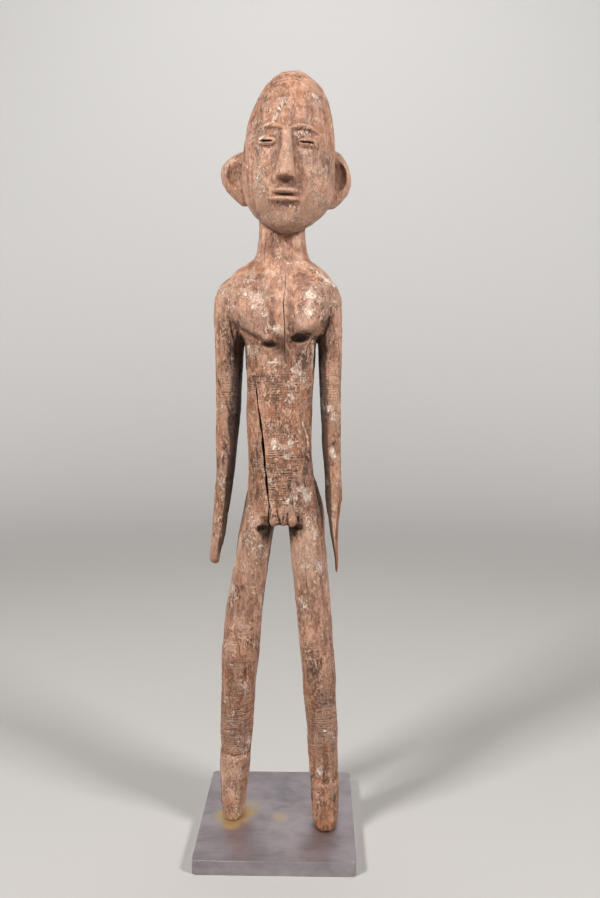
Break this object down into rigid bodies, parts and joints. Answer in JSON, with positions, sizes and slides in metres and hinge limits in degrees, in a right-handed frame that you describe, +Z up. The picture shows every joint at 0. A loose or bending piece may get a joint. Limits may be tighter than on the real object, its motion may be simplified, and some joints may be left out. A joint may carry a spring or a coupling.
{
  "type": "carved wooden ancestor figure on a base plate",
  "caption": "Tall slender standing figure carved from one log, arms at its sides and legs apart, on a square metal base plate.",
  "frame": {"origin": "middle of the plate's underside", "axes": "+Z up, the figure looks along -Y, +X on the viewer's right"},
  "size_m": [0.15, 0.15, 0.7203],
  "materials": {
    "wood": "dry weathered carving, warm brown, with adze marks, drying cracks and pale clay residue",
    "steel": "satin grey, softly reflecting"
  },
  "bodies": {
    "root": {"figure": "wood", "base_plate": "steel"}
  },
  "joints": []
}
